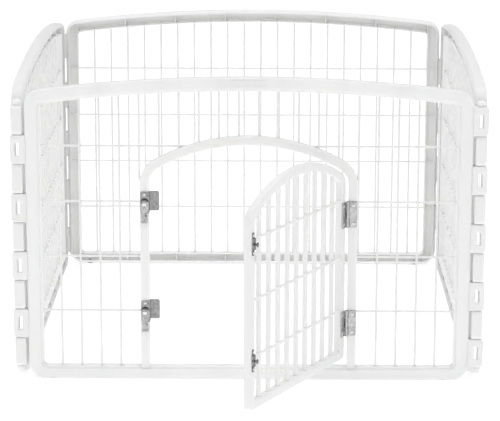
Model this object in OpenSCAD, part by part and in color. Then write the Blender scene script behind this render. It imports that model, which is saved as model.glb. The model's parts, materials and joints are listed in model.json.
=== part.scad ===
// Four-panel pet playpen: crowned moulded frames with welded wire mesh,
// joined by knuckles and corner rods, with an arched slatted door in the front.
// Millimetres. X is across the front, Y runs from the front to the back, Z is up.

/* [Panels] */
// Distance between the rod axes at the two ends of a panel
axis_span = 892; // [880:1:910]
// Gap from a panel's end face to its rod axis
end_gap = 15; // [14:0.5:18]
// Depth of a panel frame, outer face to inner face
panel_t = 27; // [25:1:29]
// Height of the crown above the floor
crown_z = 603; // [595:1:615]
// Radius of the crowned top edge
crown_r = 3284; // [3000:10:4000]
// Radius of a frame's outer corners
corner_r = 30; // [26:1:34]
// Width of the side stiles
stile_w = 29; // [27:0.5:31]
// Height of the bottom rail
bottom_rail_h = 24.5; // [22:0.5:28]
// Height of the top rail
top_rail_h = 27.5; // [26:0.5:30]
// Wall thickness of the moulded channel
wall = 3; // [2.5:0.25:3.5]
// Width of the stepped border round a frame's opening
border_w = 5; // [3:0.5:7]
// Depth of the stepped border behind the outer face
border_d = 4.5; // [3:0.5:5]

/* [Wire mesh] */
// Wire diameter
wire_d = 4.4; // [3.8:0.1:4.8]
// Spacing of the upright wires
wire_pitch = 38.5; // [38:0.1:39]
// Spacing of the level wires
wire_row = 109.7; // [108:0.1:111]
// Height of the lowest level wire
wire_z0 = 137.7; // [134:0.1:140]

/* [Corner knuckles] */
// Spacing of the knuckles on one panel end
knuckle_pitch = 115.75; // [114:0.25:117]
// Height of one knuckle
knuckle_h = 57.3; // [55:0.1:57.4]
// Height of the window through a knuckle
window_h = 26.5; // [22:0.5:30]
// Width of the window through a knuckle
window_w = 10; // [9:0.5:11]
// Radius of a corner rod
rod_r = 3; // [2.5:0.1:3.2]
// Radial clearance of a corner rod in its knuckles
rod_gap = 0.1; // [0.05:0.01:0.1]

/* [Doorway] */
// Half of the doorway surround's outer width
surround_hw = 210.8; // [208:0.1:212]
// Width of the surround's posts and arch band
surround_w = 17.8; // [16:0.1:19]
// Height of the arch's outer edge above the floor
arch_z = 488.1; // [480:0.1:495]
// Radius of the arch's middle part
arch_r = 375.4; // [365:0.1:385]
// Radius of the arch's shoulders
shoulder_r = 52.9; // [48:0.1:56]

/* [Door] */
// Opening angle of the door at rest
door_open = 61.6; // [40:0.1:80]
// Depth of the door frame
door_t = 15; // [13:0.5:15]
// Width of the door frame's members
door_w = 16.5; // [15:0.5:18]
// Height of the door's lower edge above the floor
door_z = 46; // [40:1:50]
// Gap between the door and the surround
door_gap = 3; // [2.5:0.1:4]
// Width of one slat
slat_w = 10; // [9:0.5:12]
// Spacing of the slats
slat_pitch = 36.4; // [35:0.1:37]
// Height of the crossbars' section
bar_h = 5; // [4:0.5:6]

/* [Hardware] */
// Height of a hinge leaf
leaf_h = 51; // [48:1:54]
// Width of a hinge leaf from the pin's axis
leaf_w = 19; // [18:0.5:19]
// Height of the upper latch lever's pivot
latch_z = 356; // [350:1:360]
// Drop from the upper latch to the lower latch
latch_drop = 218; // [210:1:225]

/* [Hidden] */
$fn = 48;

half_t = panel_t / 2;
panel_hw = axis_span / 2 - end_gap;       // half width of a panel frame
foot_h = 2;                               // the rails stand this far off the floor
low_z = foot_h;                           // underside of the bottom rail
knuckle_reach = 14.5;                     // knuckle beyond the rod axis
knuckle_face = 12;                        // knuckle's outer face from the mid-plane
knuckle_back = 10;                        // knuckle's inner face from the mid-plane
knuckle_low_z = 55.4;                     // centre of the lowest right-hand knuckle
face_y = -10.5;                           // outer face of the surround and of the closed door
surround_t = 17;                          // depth of the surround
pin_x = surround_hw - surround_w - door_gap / 2;  // hinge pin axis
pin_off = 3.2;                            // pin axis in front of the door's face
pin_y = face_y - pin_off;
catch_x = -182;                           // middle of the catch on the closed door
catch_peg = 11;                           // how far the catch's peg stands out
catch_head_r = 4.5;
hinge_z = [336, 117.5];                   // middle of the hinges
bar_z = [145, 252, 365];                  // crossbar heights
// furthest point of the open door in front of the front panel's mid-plane
tip_y = pin_y + (catch_x - catch_head_r - pin_x) * sin(door_open)
      - (catch_peg - pin_off) * cos(door_open);
front_y = -(axis_span + knuckle_reach + tip_y) / 2;   // centres the whole on the origin

white = [0.93, 0.93, 0.93];
wire_white = [0.95, 0.95, 0.95];
zinc = [0.62, 0.62, 0.63];
grey_rubber = [0.82, 0.82, 0.82];

// ---------- outlines ----------
// Outline with a crowned top: half width, bottom, crown, radii of crown, top and bottom corners
function crowned(hw, zb, zt, R, rt, rb, n = 5, m = 20) =
    let (zc = zt - R,
         zq = zc + sqrt(pow(R - rt, 2) - pow(hw - rt, 2)),
         fi = atan2(zq - zc, hw - rt))
    concat(
        [for (i = [0:n]) let (a = -90 + 90 * i / n) [hw - rb + rb * cos(a), zb + rb + rb * sin(a)]],
        [for (i = [0:n]) let (a = fi * i / n) [hw - rt + rt * cos(a), zq + rt * sin(a)]],
        [for (i = [1:m - 1]) let (a = fi + (180 - 2 * fi) * i / m) [R * cos(a), zc + R * sin(a)]],
        [for (i = [0:n]) let (a = 180 - fi + fi * i / n) [-(hw - rt) + rt * cos(a), zq + rt * sin(a)]],
        [for (i = [0:n]) let (a = 180 + 90 * i / n) [-(hw - rb) + rb * cos(a), zb + rb + rb * sin(a)]]);

// Height of a crowned outline's top edge at x
function crown_at(x, hw, zt, R, rt) =
    let (zc = zt - R,
         zq = zc + sqrt(pow(R - rt, 2) - pow(hw - rt, 2)),
         xt = R * cos(atan2(zq - zc, hw - rt)))
    abs(x) <= xt ? zc + sqrt(R * R - x * x)
                 : zq + sqrt(max(0, rt * rt - pow(abs(x) - (hw - rt), 2)));

// Frame outline pulled in by d from the outside
module frame_out(d) {
    polygon(crowned(panel_hw - d, low_z + d, crown_z - d, crown_r - d, corner_r - d, corner_r - d));
}
// Frame opening grown by d
module frame_in(d) {
    polygon(crowned(panel_hw - stile_w + d, low_z + bottom_rail_h - d, crown_z - top_rail_h + d,
        crown_r - top_rail_h + d, 8 + d, 8 + d));
}
module arch_out(d, zb) {
    polygon(crowned(surround_hw - d, zb, arch_z - d, arch_r - d, shoulder_r - d, 0.5, 8, 20));
}
module door_out(d) {
    g = surround_w + door_gap + d;
    polygon(crowned(surround_hw - g, door_z + d, arch_z - g, arch_r - g, max(3, shoulder_r - g), max(3, 8 - d), 8, 20));
}
// Stand an outline up: depth from y0 to y1
module up(y0, y1) {
    translate([0, y1, 0]) rotate([90, 0, 0]) linear_extrude(y1 - y0) children();
}

// ---------- placing ----------
module at_front() { translate([0, front_y, 0]) children(); }
module at_right() { translate([axis_span / 2, front_y + axis_span / 2, 0]) rotate([0, 0, 90]) children(); }
module at_back() { translate([0, front_y + axis_span, 0]) rotate([0, 0, 180]) children(); }
module at_left() { translate([-axis_span / 2, front_y + axis_span / 2, 0]) rotate([0, 0, 270]) children(); }
module on_door() {
    at_front() translate([pin_x, pin_y, 0]) rotate([0, 0, door_open]) translate([-pin_x, -pin_y, 0]) children();
}

// ---------- frames ----------
// One knuckle at the right-hand end of a panel, with its window and its bore
module knuckle(z) {
    x0 = panel_hw - 2;
    x1 = axis_span / 2 + knuckle_reach;
    r = 4;
    c = 5;
    h = knuckle_h / 2;
    difference() {
        intersection() {
            translate([0, 0, z - h]) linear_extrude(knuckle_h) {
                translate([x0, -knuckle_face]) square([x1 - x0 - r, knuckle_face + knuckle_back]);
                translate([x0, -knuckle_face + r]) square([x1 - x0, knuckle_face + knuckle_back - 2 * r]);
                translate([x1 - r, -knuckle_face + r]) circle(r);
                translate([x1 - r, knuckle_back - r]) circle(r);
            }
            up(-20, 20) polygon([[x0 - 1, z - h], [x1 - c, z - h], [x1, z - h + c], [x1, z + h - c], [x1 - c, z + h], [x0 - 1, z + h]]);
        }
        translate([axis_span / 2 - window_w / 2, -20, z - window_h / 2]) cube([window_w, 40, window_h]);
        translate([axis_span / 2, 0, z - 40]) cylinder(r = rod_r + rod_gap, h = 80);
    }
}

// Right-hand end has five knuckles, left-hand end the four between them
module knuckles() {
    for (i = [0:4]) knuckle(knuckle_low_z + knuckle_pitch * i);
    for (i = [0:3]) mirror([1, 0, 0]) knuckle(knuckle_low_z + knuckle_pitch * (i + 0.5));
}

module panel_frame() {
    difference() {
        union() {
            up(-half_t, -half_t + 1.5) difference() { frame_out(2); frame_in(border_w + 1.5); }
            up(-half_t + 1.5, -half_t + 3.5) difference() { frame_out(0); frame_in(border_w); }
            up(-half_t + 3.5, -half_t + border_d + 3) difference() { frame_in(border_w + wall); frame_in(border_w); }
            up(-half_t + border_d, -half_t + border_d + 3) difference() { frame_in(border_w + 1); frame_in(0); }
            up(-half_t + 3.5, half_t - 7) difference() { frame_out(0); frame_out(wall); }
            // outer wall drawn in towards the inner face, in steps: from, to, outer and inner inset
            for (w = [[9, 6.5, 0, 5.8], [6.5, 3.5, 2.5, 5.8], [5, 3.5, 2.5, 7.2], [3.5, 1.5, 4, 7.2], [2.5, 1.5, 4, 8], [1.5, 0, 5, 8]])
                up(half_t - w[0], half_t - w[1]) difference() { frame_out(w[2]); frame_out(w[3]); }
            up(-half_t + border_d, half_t - 4.5) difference() { frame_in(wall); frame_in(0); }
            // cross ribs of the rails, and the stiles' inner walls carried on into the rails
            for (y = [[3, border_d + 2, border_w + 1], [border_d + 1, panel_t - 6, 1]])
                up(-half_t + y[0], -half_t + y[1]) intersection() {
                    difference() { frame_out(1); frame_in(y[2]); }
                    union() {
                        for (k = [-7.5, -4.5, -1.5, 1.5, 4.5, 7.5])
                            translate([k * wire_pitch + 5, 0]) square([3, 2 * crown_z], center = true);
                        for (k = [-1, 1])
                            translate([k * (panel_hw - stile_w + 1.5), 0]) square([3, 2 * crown_z], center = true);
                    }
                }
            knuckles();
        }
        for (s = [-1, 1]) translate([s * 383.5, 0, -1]) cylinder(r = 3.4, h = 8);
    }
}

module front_frame() { color(white) at_front() panel_frame(); }
module right_frame() { color(white) at_right() panel_frame(); }
module back_frame() { color(white) at_back() panel_frame(); }
module left_frame() { color(white) at_left() panel_frame(); }

module doorway_surround() {
    color(white) at_front() {
        up(face_y, face_y + 1.5) difference() { arch_out(1.5, 20); arch_out(surround_w - 1.5, 10); }
        up(face_y + 1.5, face_y + surround_t) difference() { arch_out(0, 20); arch_out(surround_w, 10); }
    }
}

// ---------- wire mesh ----------
wire_y = -2.2;                            // middle of the upright wires
level_y = wire_y + wire_d - 0.4;          // level wires are welded behind them
module wire_up(x, z0, z1) { translate([x, wire_y, z0]) cylinder(d = wire_d, h = z1 - z0, $fn = 24); }
module wire_level(z, x0, x1) { translate([x0, level_y, z]) rotate([0, 90, 0]) cylinder(d = wire_d, h = x1 - x0, $fn = 24); }
function wx(i) = (i - 9.5) * wire_pitch;
function rail_z(x) = crown_at(x, panel_hw - stile_w, crown_z - top_rail_h, crown_r - top_rail_h, 8) + 6;
wire_low = low_z + bottom_rail_h - 7;
wire_end = panel_hw - stile_w + 21;

module panel_mesh() {
    for (i = [0:19]) wire_up(wx(i), wire_low, rail_z(wx(i)));
    for (k = [0:3]) wire_level(wire_z0 + wire_row * k, -wire_end, wire_end);
}
module right_mesh() { color(wire_white) at_right() panel_mesh(); }
module back_mesh() { color(wire_white) at_back() panel_mesh(); }
module left_mesh() { color(wire_white) at_left() panel_mesh(); }

module side_mesh() {
    for (i = [0:3]) wire_up(wx(i), wire_low, rail_z(wx(i)));
    for (k = [0:2]) wire_level(wire_z0 + wire_row * k, -wire_end, -surround_hw + 6);
    wire_level(wire_z0 + wire_row * 3, -wire_end, wx(3) + 3);
}
module front_mesh_left() { color(wire_white) at_front() side_mesh(); }
module front_mesh_right() { color(wire_white) at_front() mirror([1, 0, 0]) side_mesh(); }
module front_mesh_arch() {
    z3 = wire_z0 + wire_row * 3;
    xa = sqrt(arch_r * arch_r - pow(z3 - (arch_z - arch_r), 2));
    color(wire_white) at_front() {
        for (i = [4:15]) wire_up(wx(i), crown_at(wx(i), surround_hw + 3, arch_z, arch_r, shoulder_r) - 7, rail_z(wx(i)));
        wire_level(z3, wx(3) + 3, -xa + 14);
        wire_level(z3, xa - 14, -wx(3) - 3);
    }
}

// ---------- small parts of the panels ----------
module nameplate() {
    color(white) at_front() up(-half_t - 1, -half_t) intersection() {
        translate([0, crown_z - 10.5]) square([68, 11], center = true);
        frame_out(3);
    }
}
module feet() {
    for (s = [-1, 1]) translate([s * 383.5, 0, 0]) {
        cylinder(r = 7, h = foot_h);
        cylinder(r = 3.5, h = foot_h + 7);
    }
}
module front_feet() { color(grey_rubber) at_front() feet(); }
module right_feet() { color(grey_rubber) at_right() feet(); }
module back_feet() { color(grey_rubber) at_back() feet(); }
module left_feet() { color(grey_rubber) at_left() feet(); }

// ---------- corner rods ----------
knuckle_top = knuckle_low_z + knuckle_pitch * 4 + knuckle_h / 2;
knuckle_bottom = knuckle_low_z - knuckle_h / 2;
module rod() {
    translate([0, 0, knuckle_bottom - 9]) cylinder(r = rod_r, h = knuckle_top - knuckle_bottom + 15);
}
module rod_knob() {
    translate([0, 0, knuckle_top + 0.4]) difference() {
        rotate_extrude() {
            square([9, 6.5]);
            intersection() { translate([0, 0.5]) circle(11); translate([0, 6.5]) square([9, 6]); }
        }
        translate([0, 0, -1]) cylinder(r = rod_r, h = 6.6);
    }
}
module rod_cap() {
    difference() {
        translate([0, 0, knuckle_bottom - 15]) rotate_extrude() {
            translate([0, 5]) square([9.5, 9.6]);
            square([4.5, 14.6]);
            intersection() { translate([4.5, 5]) circle(5); square([9.5, 10]); }
        }
        translate([0, 0, knuckle_bottom - 9]) cylinder(r = rod_r, h = 20);
    }
}
module corner(sx, back) { translate([sx * axis_span / 2, front_y + (back ? axis_span : 0), 0]) children(); }
module corner_rod_front_left() { color(zinc) corner(-1, false) rod(); }
module corner_rod_front_right() { color(zinc) corner(1, false) rod(); }
module corner_rod_back_left() { color(zinc) corner(-1, true) rod(); }
module corner_rod_back_right() { color(zinc) corner(1, true) rod(); }
module corner_knob_front_left() { color(white) corner(-1, false) rod_knob(); }
module corner_knob_front_right() { color(white) corner(1, false) rod_knob(); }
module corner_knob_back_left() { color(white) corner(-1, true) rod_knob(); }
module corner_knob_back_right() { color(white) corner(1, true) rod_knob(); }
module corner_cap_front_left() { color(white) corner(-1, false) rod_cap(); }
module corner_cap_front_right() { color(white) corner(1, false) rod_cap(); }
module corner_cap_back_left() { color(white) corner(-1, true) rod_cap(); }
module corner_cap_back_right() { color(white) corner(1, true) rod_cap(); }

// ---------- door ----------
module door_frame() {
    color(white) on_door() {
        up(face_y, face_y + 1.5) difference() { door_out(1.5); door_out(door_w - 1.5); }
        up(face_y + 1.5, face_y + door_t) difference() { door_out(0); door_out(door_w); }
        for (i = [-4:4]) {
            g = surround_w + door_gap + door_w;
            zt = crown_at(i * slat_pitch, surround_hw - g, arch_z - g, arch_r - g, max(3, shoulder_r - g));
            translate([i * slat_pitch - slat_w / 2, face_y + 4.5, door_z + door_w - 2])
                cube([slat_w, 7, zt - door_z - door_w + 5]);
        }
        hw = surround_hw - surround_w - door_gap - door_w;
        for (z = bar_z) translate([-hw - 2, face_y + 2, z - bar_h / 2]) cube([2 * hw + 4, 6, bar_h]);
    }
}

// Catch on the door's free stile: strap with a raised bridge and a headed peg
module catch_at(z) {
    on_door() translate([catch_x, face_y, z]) {
        for (s = [-1, 1]) {
            translate([-3.5, -1.5, s > 0 ? 10 : -21.5]) cube([7, 1.5, 11.5]);
            translate([-3.5, -4.5, s > 0 ? 10 : -11.5]) cube([7, 4.5, 1.5]);
        }
        translate([-3.5, -4.5, -11.5]) cube([7, 1.5, 23]);
        rotate([90, 0, 0]) cylinder(r = 2, h = catch_peg);
        translate([0, -catch_peg + 1.8, 0]) rotate([90, 0, 0]) cylinder(r = catch_head_r, h = 1.8);
    }
}
module catch_upper() { color(zinc) catch_at(latch_z + 3); }
module catch_lower() { color(zinc) catch_at(latch_z - latch_drop + 3); }

// Pan-head screw, head on the -Y side at y = 0
module screw(r, len) {
    rotate([90, 0, 0]) translate([0, 0, -len]) cylinder(r = r * 0.5, h = len);
    rotate([90, 0, 0]) cylinder(r = r, h = 0.9);
}
module catch_screws() {
    color(zinc) on_door() for (z = [latch_z + 3, latch_z - latch_drop + 3], s = [-1, 1])
        translate([catch_x, face_y - 1.5, z + s * 16.3]) screw(2.7, 11);
}

// ---------- hinges ----------
barrel_r = 3;
hpin_r = 1.5;
module leaf_plate(own, h) {
    // the plate lies on the face and runs into the barrel only at its own knuckles
    difference() {
        union() {
            translate([barrel_r + 0.5, pin_off - 1.6, -h / 2]) cube([leaf_w - barrel_r - 0.5, 1.6, h]);
            for (b = own) {
                translate([0, pin_off - 1.6, b[0]]) cube([barrel_r + 1, 1.6, b[1] - b[0]]);
                translate([0, 0, b[0]]) cylinder(r = barrel_r, h = b[1] - b[0]);
            }
        }
        translate([0, 0, -h]) cylinder(r = hpin_r + 0.06, h = 2 * h);
    }
}
outer_b = [[-25.5, -8.7], [8.7, 25.5]];
inner_b = [[-8.4, 8.4]];
module hinge_post_leaf(z) { at_front() translate([pin_x, pin_y, z]) leaf_plate(outer_b, leaf_h); }
module hinge_door_leaf(z) { on_door() translate([pin_x, pin_y, z]) mirror([1, 0, 0]) leaf_plate(inner_b, leaf_h); }
module hinge_post_leaf_upper() { color(zinc) hinge_post_leaf(hinge_z[0]); }
module hinge_post_leaf_lower() { color(zinc) hinge_post_leaf(hinge_z[1]); }
module hinge_door_leaf_upper() { color(zinc) hinge_door_leaf(hinge_z[0]); }
module hinge_door_leaf_lower() { color(zinc) hinge_door_leaf(hinge_z[1]); }
module hinge_pin(z) {
    at_front() translate([pin_x, pin_y, z]) {
        translate([0, 0, -26.5]) cylinder(r = hpin_r, h = 53);
        for (s = [-1, 1]) translate([0, 0, s > 0 ? 25.6 : -26.8]) cylinder(r = 2.4, h = 1.2);
    }
}
module hinge_pin_upper() { color(zinc) hinge_pin(hinge_z[0]); }
module hinge_pin_lower() { color(zinc) hinge_pin(hinge_z[1]); }
module hinge_post_screws() {
    color(zinc) at_front() for (z = hinge_z, s = [-1, 1])
        translate([pin_x + 11.5, face_y - 1.6, z + s * 18]) screw(3.2, 13);
}
module hinge_door_screws() {
    color(zinc) on_door() for (z = hinge_z, s = [-1, 1])
        translate([pin_x - 11.5, face_y - 1.6, z + s * 18]) screw(3.2, 12);
}

// ---------- latches ----------
post_x = -surround_hw + surround_w / 2;   // middle of the free-side post
stop_y = face_y + door_t + 0.6;           // front of the stop flange
module latch_bracket(z) {
    xi = -surround_hw + surround_w;
    at_front() translate([0, 0, z]) difference() {
        union() {
            translate([-surround_hw + 1, face_y - 1.5, -20]) cube([xi + surround_hw + 0.2, 1.5, 43]);
            translate([xi, face_y - 1.5, -18]) cube([1.2, stop_y + 1.2 - face_y + 1.5, 39]);
            translate([xi, stop_y, -18]) cube([19, 1.2, 39]);
            translate([post_x, face_y - 1, 0]) rotate([90, 0, 0]) cylinder(r = 6, h = 4.3);
        }
        translate([post_x, 10, 0]) rotate([90, 0, 0]) cylinder(r = 2.5, h = 40);
    }
}
module latch_bracket_upper() { color(zinc) latch_bracket(latch_z); }
module latch_bracket_lower() { color(zinc) latch_bracket(latch_z - latch_drop); }
module latch_bracket_screws() {
    color(zinc) at_front() for (z = [latch_z, latch_z - latch_drop])
        translate([post_x, face_y - 1.5, z + 17.5]) screw(3, 13);
}
module latch_rivet(z) {
    at_front() translate([post_x, face_y, z]) {
        translate([0, 0, 0]) rotate([90, 0, 0]) cylinder(r = 2.5, h = 8.6);
        translate([0, -7.7, 0]) rotate([90, 0, 0]) cylinder(r = 4.6, h = 1.5);
    }
}
module latch_rivet_upper() { color(zinc) latch_rivet(latch_z); }
module latch_rivet_lower() { color(zinc) latch_rivet(latch_z - latch_drop); }

// Lever hanging from its rivet: round head, shoulders, neck and flared thumb end,
// with a hook slot in its side that takes the catch's peg when it is swung level
peg_r = sqrt(pow(catch_x - post_x, 2) + 9);
peg_a = atan2(3, catch_x - post_x);
module lever_outline() {
    circle(8.8);
    polygon([[-8.8, 0], [8.8, 0], [8, -12], [5.6, -17], [5.6, -30], [7, -33], [7, -38.5], [-7, -38.5],
             [-7, -33], [-5.6, -30], [-5.6, -17], [-8, -12]]);
}
module latch_lever(z) {
    at_front() translate([post_x, face_y - 5.5, z]) rotate([90, 0, 0]) linear_extrude(2) difference() {
        lever_outline();
        circle(2.56);
        // the peg's place when level is at angle peg_a; turned back 90 degrees here
        rotate(peg_a - 90) translate([peg_r, 0]) { circle(2.6); }
        rotate(peg_a - 90 + 10) translate([peg_r - 2.6, -3.4]) square([5.3, 12]);
    }
}
module latch_lever_upper() { color(zinc) latch_lever(latch_z); }
module latch_lever_lower() { color(zinc) latch_lever(latch_z - latch_drop); }

// ---------- draw ----------
front_frame();
doorway_surround();
front_mesh_left();
front_mesh_right();
front_mesh_arch();
nameplate();
front_feet();
latch_bracket_upper();
latch_bracket_lower();
latch_bracket_screws();
latch_rivet_upper();
latch_rivet_lower();
latch_lever_upper();
latch_lever_lower();
hinge_post_leaf_upper();
hinge_post_leaf_lower();
hinge_door_leaf_upper();
hinge_door_leaf_lower();
hinge_pin_upper();
hinge_pin_lower();
hinge_post_screws();
hinge_door_screws();
door_frame();
catch_upper();
catch_lower();
catch_screws();
right_frame();
right_mesh();
right_feet();
back_frame();
back_mesh();
back_feet();
left_frame();
left_mesh();
left_feet();
corner_rod_front_left();
corner_rod_front_right();
corner_rod_back_left();
corner_rod_back_right();
corner_knob_front_left();
corner_knob_front_right();
corner_knob_back_left();
corner_knob_back_right();
corner_cap_front_left();
corner_cap_front_right();
corner_cap_back_left();
corner_cap_back_right();
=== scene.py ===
import json
import math

import bmesh
import bpy
import numpy as np
from mathutils import Matrix, Vector

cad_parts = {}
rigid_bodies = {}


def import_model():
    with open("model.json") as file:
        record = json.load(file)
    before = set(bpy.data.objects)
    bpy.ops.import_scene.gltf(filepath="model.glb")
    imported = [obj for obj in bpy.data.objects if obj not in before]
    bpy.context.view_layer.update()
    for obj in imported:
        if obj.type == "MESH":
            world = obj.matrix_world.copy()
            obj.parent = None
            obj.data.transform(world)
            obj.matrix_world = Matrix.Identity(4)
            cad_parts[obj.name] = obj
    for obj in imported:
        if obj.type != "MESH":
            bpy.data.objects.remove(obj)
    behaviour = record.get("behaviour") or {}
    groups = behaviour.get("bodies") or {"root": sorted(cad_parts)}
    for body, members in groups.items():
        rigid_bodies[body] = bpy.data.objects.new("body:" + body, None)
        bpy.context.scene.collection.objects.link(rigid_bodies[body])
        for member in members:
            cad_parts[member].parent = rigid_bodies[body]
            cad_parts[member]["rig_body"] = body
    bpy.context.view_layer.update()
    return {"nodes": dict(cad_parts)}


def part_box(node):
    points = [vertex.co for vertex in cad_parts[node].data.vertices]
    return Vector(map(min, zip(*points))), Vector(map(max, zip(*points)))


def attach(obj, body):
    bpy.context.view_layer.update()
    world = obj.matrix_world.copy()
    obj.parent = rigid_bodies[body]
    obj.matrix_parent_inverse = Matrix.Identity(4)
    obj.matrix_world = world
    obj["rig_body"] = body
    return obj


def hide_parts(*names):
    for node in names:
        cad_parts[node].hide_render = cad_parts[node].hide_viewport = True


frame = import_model()
MM = 0.001

# ---------------------------------------------------------------- sizes, millimetres
rod_lo, rod_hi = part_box("corner_rod_front_left")
AXIS = -(rod_lo.x + rod_hi.x) / MM                 # distance between the rod axes
FRONT_Y = (rod_lo.y + rod_hi.y) / 2 / MM
HW = AXIS / 2 - 15                                 # half width of a panel frame
HT = 13.5
LOW = 2.0
CROWN_Z, CROWN_R, CORNER_R = 603.0, 3284.0, 30.0
STILE, RAIL_B, RAIL_T, WALL = 29.0, 24.5, 27.5, 3.0
WD, PITCH, ROW, Z0 = 4.4, 38.5, 109.7, 137.7
WIRE_Y = -2.2
LEVEL_Y = WIRE_Y + WD - 0.4
K_PITCH, K_H, K_Z = 115.75, 57.3, 55.4
WIN_H, WIN_W, ROD_R = 26.5, 10.0, 3.0
S_HW, S_W, ARCH_Z, ARCH_R, SH_R = 210.8, 17.8, 488.1, 375.4, 52.9
FACE_Y = -10.5
S_T = 17.0
OPEN = math.radians(61.6)
D_T, D_W, D_Z, GAP = 15.0, 16.5, 46.0, 3.0
SLAT_W, SLAT_P, BAR_H = 10.0, 36.4, 5.0
PIN_X = S_HW - S_W - GAP / 2
PIN_OFF = 3.2
PIN_Y = FACE_Y - PIN_OFF
CATCH_X, PEG = -182.0, 11.0
HINGE_Z = (336.0, 117.5)
BAR_Z = (145.0, 252.0, 365.0)
LATCH_Z = (356.0, 138.0)
POST_X = -S_HW + S_W / 2
STOP_Y = FACE_Y + D_T + 0.6
K_TOP = K_Z + K_PITCH * 4 + K_H / 2
K_BOT = K_Z - K_H / 2


def T(x, y, z):
    return Matrix.Translation((x, y, z))


def RZ(deg):
    return Matrix.Rotation(math.radians(deg), 4, "Z")


M_FRONT = T(0, FRONT_Y, 0)
M_RIGHT = T(AXIS / 2, FRONT_Y + AXIS / 2, 0) @ RZ(90)
M_BACK = T(0, FRONT_Y + AXIS, 0) @ RZ(180)
M_LEFT = T(-AXIS / 2, FRONT_Y + AXIS / 2, 0) @ RZ(270)
M_DOOR = M_FRONT @ T(PIN_X, PIN_Y, 0) @ Matrix.Rotation(OPEN, 4, "Z") @ T(-PIN_X, -PIN_Y, 0)

# ---------------------------------------------------------------- materials


def new_mat(name):
    m = bpy.data.materials.new(name)
    m.use_nodes = True
    nt = m.node_tree
    nt.nodes.clear()
    out = nt.nodes.new("ShaderNodeOutputMaterial")
    b = nt.nodes.new("ShaderNodeBsdfPrincipled")
    nt.links.new(b.outputs[0], out.inputs[0])
    return m, nt, b


def noise_node(nt, co, scale, detail=3.0, rough=0.55, stretch=None):
    n = nt.nodes.new("ShaderNodeTexNoise")
    n.inputs["Scale"].default_value = scale
    n.inputs["Detail"].default_value = detail
    n.inputs["Roughness"].default_value = rough
    if stretch:
        mp = nt.nodes.new("ShaderNodeMapping")
        mp.inputs["Scale"].default_value = stretch
        nt.links.new(co, mp.inputs["Vector"])
        co = mp.outputs[0]
    nt.links.new(co, n.inputs["Vector"])
    return n


def ramp(nt, src, stops):
    r = nt.nodes.new("ShaderNodeValToRGB")
    while len(r.color_ramp.elements) < len(stops):
        r.color_ramp.elements.new(0.5)
    for e, (p, c) in zip(r.color_ramp.elements, stops):
        e.position = p
        e.color = (c, c, c, 1) if isinstance(c, float) else (*c, 1)
    nt.links.new(src, r.inputs[0])
    return r


def map_range(nt, src, a, b, c, d):
    m = nt.nodes.new("ShaderNodeMapRange")
    m.inputs[1].default_value, m.inputs[2].default_value = a, b
    m.inputs[3].default_value, m.inputs[4].default_value = c, d
    nt.links.new(src, m.inputs[0])
    return m


def mix_rgb(nt, fac, a, b, kind="MIX"):
    m = nt.nodes.new("ShaderNodeMix")
    m.data_type = "RGBA"
    m.blend_type = kind
    if isinstance(fac, float):
        m.inputs[0].default_value = fac
    else:
        nt.links.new(fac, m.inputs[0])
    for i, v in ((6, a), (7, b)):
        if isinstance(v, tuple):
            m.inputs[i].default_value = (*v, 1)
        else:
            nt.links.new(v, m.inputs[i])
    return m


def bumps(nt, b, layers):
    """layers: (height socket, strength, distance in metres), laid one on another."""
    normal = None
    for src, strength, dist in layers:
        bp = nt.nodes.new("ShaderNodeBump")
        bp.inputs["Strength"].default_value = strength
        bp.inputs["Distance"].default_value = dist
        nt.links.new(src, bp.inputs["Height"])
        if normal:
            nt.links.new(normal, bp.inputs["Normal"])
        normal = bp.outputs[0]
    nt.links.new(normal, b.inputs["Normal"])


def moulded(name, light, dark, r0, r1, grain=2600.0, sss=0.9, depth=0.006):
    """Satin moulded plastic: fine spark texture, faint flow marks, handling scuffs, scattered darker specks."""
    m, nt, b = new_mat(name)
    co = nt.nodes.new("ShaderNodeTexCoord").outputs["Object"]
    cloud = noise_node(nt, co, 7.0, 4.0, 0.6)
    flow = noise_node(nt, co, 26.0, 3.0, 0.5, (1.0, 1.0, 0.25))
    spark = noise_node(nt, co, grain, 2.0, 0.6)
    speck = noise_node(nt, co, 900.0, 1.0, 0.4)
    scuff = noise_node(nt, co, 55.0, 6.0, 0.72, (0.35, 1.0, 5.0))
    base = ramp(nt, cloud.outputs[0], [(0.3, dark), (0.7, light)])
    fl = ramp(nt, flow.outputs[0], [(0.35, 0.985), (0.65, 1.0)])
    c1 = mix_rgb(nt, 1.0, base.outputs[0], fl.outputs[0], "MULTIPLY")
    dots = ramp(nt, speck.outputs[0], [(0.70, 1.0), (0.78, 0.965)])
    c2 = mix_rgb(nt, 1.0, c1.outputs[2], dots.outputs[0], "MULTIPLY")
    nt.links.new(c2.outputs[2], b.inputs["Base Color"])
    sc = ramp(nt, scuff.outputs[0], [(0.55, 0.0), (0.72, 1.0)])
    rr = map_range(nt, sc.outputs[0], 0.0, 1.0, r0, r1)
    nt.links.new(rr.outputs[0], b.inputs["Roughness"])
    bumps(nt, b, [(spark.outputs[0], 0.22, 0.00012), (flow.outputs[0], 0.10, 0.0008), (sc.outputs[0], 0.05, 0.0002)])
    b.inputs["IOR"].default_value = 1.49
    b.inputs["Subsurface Weight"].default_value = sss
    b.inputs["Subsurface Radius"].default_value = (1.0, 0.97, 0.92)
    b.inputs["Subsurface Scale"].default_value = depth
    return m


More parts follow.
